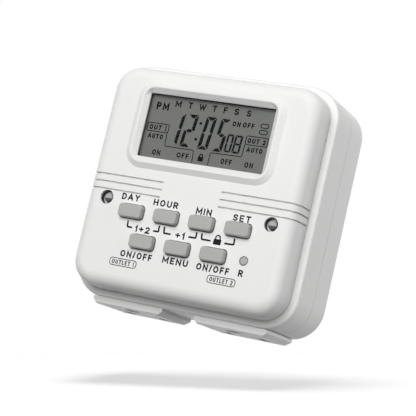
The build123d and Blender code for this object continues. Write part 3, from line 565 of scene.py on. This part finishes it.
# Black ABS: dull, from the same kind of mould as the housing.
black_abs = moulded("black_abs", "#1C1C1D", "#151516", grain=0.3, depth=0.012, roughness=0.5, index=1.53)
# The sleeves are painted shade: black plastic set where the walls of the wells lie in shade.
sleeve_outside = 2.39
sleeve_bore = 2.25
sleeve_back = 35.95
sleeve_front = 37.5
sleeve_sides = 48
sleeves = bmesh.new()
for x in (-lamp_x, lamp_x):
    loops = []
    for radius, depth in (
        (sleeve_outside, sleeve_back),
        (sleeve_outside, sleeve_front),
        (sleeve_bore, sleeve_front),
        (sleeve_bore, sleeve_back),
    ):
        around = [Vector((u, -depth, v)) for u, v in ring(x, lamp_height, radius, sleeve_sides)]
        loops.append([sleeves.verts.new(spot * millimetre) for spot in around])
    for here, there in zip(loops, loops[1:] + loops[:1]):
        for i in range(sleeve_sides):
            j = (i + 1) % sleeve_sides
            sleeves.faces.new((here[i], here[j], there[j], there[i]))
bmesh.ops.recalc_face_normals(sleeves, faces=sleeves.faces[:])
sleeve_mesh = bpy.data.meshes.new("lamp_sleeves")
sleeves.to_mesh(sleeve_mesh)
sleeves.free()
for face in sleeve_mesh.polygons:
    face.use_smooth = True
sleeve_mesh.set_sharp_from_angle(angle=math.radians(40))
sleeve_mesh.materials.append(black_abs)
lamp_sleeves = bpy.data.objects.new("lamp_sleeves", sleeve_mesh)
bpy.context.scene.collection.objects.link(lamp_sleeves)
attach(lamp_sleeves, "housing")


# Outlets. They are two insulating blocks in the lower edge, moulded in the same white ABS as the
# housing, with slots and ground holes.
dress(white_abs, "outlet_left", "outlet_right")


# Contacts and plug. The clips and bars are stamped from brass strip. The plug's blades and pin are
# brass, nickel plated.
def metal(name, light, dark, streak, roughness):
    """A rolled or turned metal: two close tones and fine marks, as wide as the streak in millimetres
    and drawn out along one direction."""
    material = blank(name)
    place = add_node(material, "ShaderNodeTexCoord").outputs["Object"]
    drawn = add_node(material, "ShaderNodeMapping", {"Scale": (1.0, 0.06, 1.0)}, {"Vector": place})
    lines = add_node(
        material,
        "ShaderNodeTexNoise",
        {"Scale": 1 / (streak * millimetre), "Detail": 4.0, "Roughness": 0.6},
        {"Vector": drawn.outputs[0]},
    )
    tone = add_node(
        material,
        "ShaderNodeMix",
        {"data_type": "RGBA", mix_first: linear(dark), mix_second: linear(light)},
        {mix_share: lines.outputs[0]},
    )
    gloss = add_node(
        material,
        "ShaderNodeMapRange",
        {"From Min": 0.3, "From Max": 0.7, "To Min": roughness - 0.06, "To Max": roughness + 0.06},
        {"Value": lines.outputs[0]},
    )
    relief = add_node(
        material,
        "ShaderNodeBump",
        {"Strength": 0.3, "Distance": 0.01 * millimetre},
        {"Height": lines.outputs[0]},
    )
    skin = add_node(
        material,
        "ShaderNodeBsdfPrincipled",
        {"Metallic": 1.0},
        {
            "Base Color": tone.outputs[mix_result],
            "Roughness": gloss.outputs[0],
            "Normal": relief.outputs[0],
        },
    )
    finish_with(material, skin)
    return material


# Brass strip: yellow metal with the fine lines of the rolls.
rolled_brass = metal("rolled_brass", "#D9B35E", "#C49A45", streak=0.25, roughness=0.32)
dress(rolled_brass, "hot_contact_left", "hot_contact_right", "neutral_bar", "ground_bar")

# Nickel plate on brass: a warm silver grey with a soft polish.
nickel_plate = metal("nickel_plate", "#CFCBC2", "#BDB9B0", streak=0.25, roughness=0.26)
dress(nickel_plate, "line_blade", "neutral_blade", "ground_pin")


# Display frame, contact strips and key mat. The frame is moulded in black ABS. The strips and the mat
# are silicone rubber, moulded and cut.
dress(black_abs, "display_frame")

# Silicone rubber: translucent grey, slightly greasy to look at.
grey_silicone = moulded(
    "grey_silicone", "#A9ACAE", "#9C9FA2", grain=0.6, depth=0.01, roughness=0.55, index=1.41
)
dress(grey_silicone, "key_mat", "contact_strips")


# Boards. They are glass-epoxy laminate with green solder mask over copper tracks, and the components
# are soldered to them.

# Solder mask: a glossy green coat, lighter where it lies over a track. The tracks run in steps along
# the board's two directions, one pin pitch apart.
track_width = 0.8
track_length = 9
track_thickness = 0.035
pin_pitch = 2.54
solder_mask = blank("solder_mask")
board_place = add_node(solder_mask, "ShaderNodeTexCoord")
flat_place = add_node(
    solder_mask,
    "ShaderNodeMapping",
    {"Rotation": (math.radians(90), 0.0, 0.0)},
    {"Vector": board_place.outputs["Object"]},
)
tracks = add_node(
    solder_mask,
    "ShaderNodeTexBrick",
    {
        "offset": 0.5,
        "Color1": linear("#1F6B3A"),
        "Color2": linear("#1B6034"),
        "Mortar": linear("#2F8A4D"),
        "Scale": 1.0,
        "Mortar Size": track_width / 2 * millimetre,
        "Mortar Smooth": 0.1,
        "Brick Width": track_length * millimetre,
        "Row Height": pin_pitch * millimetre,
    },
    {"Vector": flat_place.outputs[0]},
)
mask_relief = add_node(
    solder_mask,
    "ShaderNodeBump",
    {"Strength": 0.4, "Distance": track_thickness * millimetre},
    {"Height": tracks.outputs["Fac"]},
)
mask_skin = add_node(
    solder_mask,
    "ShaderNodeBsdfPrincipled",
    {"Roughness": 0.28, "IOR": 1.5},
    {"Base Color": tracks.outputs["Color"], "Normal": mask_relief.outputs[0]},
)
finish_with(solder_mask, mask_skin)
dress(solder_mask, "control_board", "power_board")


# Components. The relays and the film capacitor have moulded cases, the controller, the diodes and the
# varistor are moulded or dipped in epoxy, and the cell, the crystal and the smoothing capacitor have
# metal cans.

# Relay case: blue polyester, slightly glossy.
relay_case = moulded("relay_case", "#27509A", "#214488", grain=0.3, depth=0.01, roughness=0.35, index=1.57)
dress(relay_case, "relay_left", "relay_right")

# Film capacitor case: yellow polypropylene with a satin surface.
capacitor_case = moulded(
    "capacitor_case", "#D9A92C", "#CB9C24", grain=0.3, depth=0.01, roughness=0.38, index=1.49
)
dress(capacitor_case, "film_capacitor")

# Moulded epoxy of the chip, the diodes and the pin header: charcoal, finely matt.
chip_epoxy = moulded("chip_epoxy", "#26272A", "#1D1E20", grain=0.2, depth=0.015, roughness=0.55, index=1.57)
dress(chip_epoxy, "controller_chip", "diodes", "board_header")

# Dipped epoxy of the varistor: a glossy blue-green coat with a soft unevenness.
dipped_epoxy = moulded(
    "dipped_epoxy", "#2C7C8C", "#246E7D", grain=1.5, depth=0.05, roughness=0.25, index=1.57
)
dress(dipped_epoxy, "varistor")

# Shrunk film over the smoothing capacitor's aluminium can: a satin blue black.
sleeve_film = moulded("sleeve_film", "#1E2636", "#192030", grain=0.5, depth=0.01, roughness=0.3, index=1.5)
dress(sleeve_film, "smoothing_capacitor")

# Nickelled steel of the cell and the crystal's can: bright with fine drawing lines.
nickelled_steel = metal("nickelled_steel", "#C9CACB", "#B6B8BA", streak=0.2, roughness=0.24)
dress(nickelled_steel, "backup_battery", "clock_crystal")


# Screws. They are cross-recessed steel screws, zinc plated and clear passivated: three long ones for
# the case and eight small ones for the boards.

# Zinc plate: a bluish silver, slightly dull.
zinc_plate = metal("zinc_plate", "#BEC2C6", "#A9ADB2", streak=0.3, roughness=0.34)
dress(zinc_plate, "case_screws", "board_screws")


# Studio. The timer hangs over a small white table in a white room. The strongest soft box is in front,
# weaker ones stand above, below, on both sides and behind, and one more lights the table alone.
eye = bpy.data.cameras.new("studio_camera")
eye.sensor_width = 36.0
eye.lens = 126.857682
eye.clip_start = 0.01
camera = bpy.data.objects.new("studio_camera", eye)
camera.location = (0.20415226, -0.46402748, -0.07017421)
camera.rotation_euler = [math.radians(a) for a in (97.93298652, -12.97294027, 23.04493345)]
bpy.context.scene.collection.objects.link(camera)
bpy.context.scene.camera = camera

# The table and the lamps stand square to the camera, about the middle of the housing.
camera_axes = camera.rotation_euler.to_matrix()
to_right = camera_axes.col[0].copy()
upward = camera_axes.col[1].copy()
ahead = -camera_axes.col[2]
middle = Vector((0.0, -0.0197, 0.0))

# The table falls away from the camera a little, so that the shadow on it is seen as a thin band.
table_fall = math.radians(1.6)
table_drop = 0.0615
table_radius = 0.14
table_sides = 96
table_normal = (upward * math.cos(table_fall) + ahead * math.sin(table_fall)).normalized()
table_ahead = table_normal.cross(to_right).normalized()
table_middle = middle - upward * table_drop
rim = []
for step in range(table_sides):
    angle = math.tau * step / table_sides
    rim.append(table_middle + (to_right * math.cos(angle) + table_ahead * math.sin(angle)) * table_radius)
table_mesh = bpy.data.meshes.new("table_top")
table_mesh.from_pydata([tuple(p) for p in rim], [], [tuple(range(table_sides))])
table_top = bpy.data.objects.new("table_top", table_mesh)
bpy.context.scene.collection.objects.link(table_top)

# Matt white table: white to the camera and in reflections, and clear to all other light and from
# behind, so that it doesn't darken what the lamps and the room throw up from below.
full_white = (1, 1, 1, 1)
table_white = blank("table_white")
ray = add_node(table_white, "ShaderNodeLightPath")
seen = add_node(
    table_white,
    "ShaderNodeMath",
    {"operation": "MAXIMUM"},
    {0: ray.outputs["Is Camera Ray"], 1: ray.outputs["Is Glossy Ray"]},
)
table_side = add_node(table_white, "ShaderNodeNewGeometry")
front_seen = add_node(
    table_white,
    "ShaderNodeMath",
    {"operation": "SUBTRACT"},
    {0: seen.outputs[0], 1: table_side.outputs["Backfacing"]},
)
matt = add_node(table_white, "ShaderNodeBsdfDiffuse", {"Color": linear("#E8E8E8")})
glow = add_node(table_white, "ShaderNodeEmission", {"Color": full_white, "Strength": 0.62})
lit = add_node(table_white, "ShaderNodeAddShader", links={0: matt.outputs[0], 1: glow.outputs[0]})
clear = add_node(table_white, "ShaderNodeBsdfTransparent")
table_shader = add_node(
    table_white,
    "ShaderNodeMixShader",
    links={0: front_seen.outputs[0], 1: clear.outputs[0], 2: lit.outputs[0]},
)
finish_with(table_white, table_shader)
table_mesh.materials.append(table_white)


def soft_box(name, round_angle, rise, level, distance=0.8, size=0.55):
    """A round soft box that looks at the timer. Its place is given by its angle round the timer,
    counted to the right from the camera, and its angle above the camera's level. The level is the light
    that falls on a surface square to it, where 1 shows a colour as it is written."""
    data = bpy.data.lights.new(name, "AREA")
    data.shape = "DISK"
    data.size = size
    data.energy = level * math.pi**2 * distance**2
    thing = bpy.data.objects.new(name, data)
    turn, lift = math.radians(round_angle), math.radians(rise)
    level_way = to_right * math.sin(turn) - ahead * math.cos(turn)
    towards = level_way * math.cos(lift) + upward * math.sin(lift)
    thing.location = middle + towards * distance
    thing.rotation_euler = (-towards).to_track_quat("-Z", "Y").to_euler()
    thing.visible_camera = False
    thing.visible_glossy = False
    bpy.context.scene.collection.objects.link(thing)
    return thing


lamps = [
    soft_box("box_front", -18, 28, level=0.81, size=0.6),
    soft_box("box_above", -30, 48, level=0.25),
    soft_box("box_right", 60, 10, level=0.22),
    soft_box("rim_right", 118, 0, level=0.4),
    soft_box("rim_left", -135, 0, level=0.15),
    soft_box("box_below", 0, -86, level=0.15),
    soft_box("box_back", 175, 25, level=0.4),
]

# A small lamp straight over the table lights the table alone, and gives the timer's shadow on it. The
# other lamps leave the table out.
over = soft_box("box_over", 0, 90 + math.degrees(table_fall), level=0.58, distance=0.6, size=0.34)
table_alone = bpy.data.collections.new("table_alone")
table_alone.objects.link(table_top)
over.light_linking.receiver_collection = table_alone
all_but_table = bpy.data.collections.new("all_but_table")
all_but_table.objects.link(table_top)
all_but_table.collection_objects[0].light_linking.link_state = "EXCLUDE"
for lamp in lamps:
    lamp.light_linking.receiver_collection = all_but_table

# White room: white where the camera, glass and gloss see it. On the timer it throws only a faint even
# light.
room_level = 0.03
room = bpy.data.worlds.new("white_room")
bpy.context.scene.world = room
room.use_nodes = True
room.node_tree.nodes.clear()
view = add_node(room, "ShaderNodeLightPath")
seen_or_through = add_node(
    room,
    "ShaderNodeMath",
    {"operation": "MAXIMUM"},
    {0: view.outputs["Is Camera Ray"], 1: view.outputs["Is Transmission Ray"]},
)
shown = add_node(
    room,
    "ShaderNodeMath",
    {"operation": "MAXIMUM"},
    {0: seen_or_through.outputs[0], 1: view.outputs["Is Glossy Ray"]},
)
white = add_node(room, "ShaderNodeBackground", {"Color": full_white, "Strength": 1.0})
faint = add_node(room, "ShaderNodeBackground", {"Color": full_white, "Strength": room_level})
both = add_node(
    room,
    "ShaderNodeMixShader",
    links={0: shown.outputs[0], 1: faint.outputs[0], 2: white.outputs[0]},
)
add_node(room, "ShaderNodeOutputWorld", links={"Surface": both.outputs[0]})

bpy.context.scene.view_settings.view_transform = "Standard"
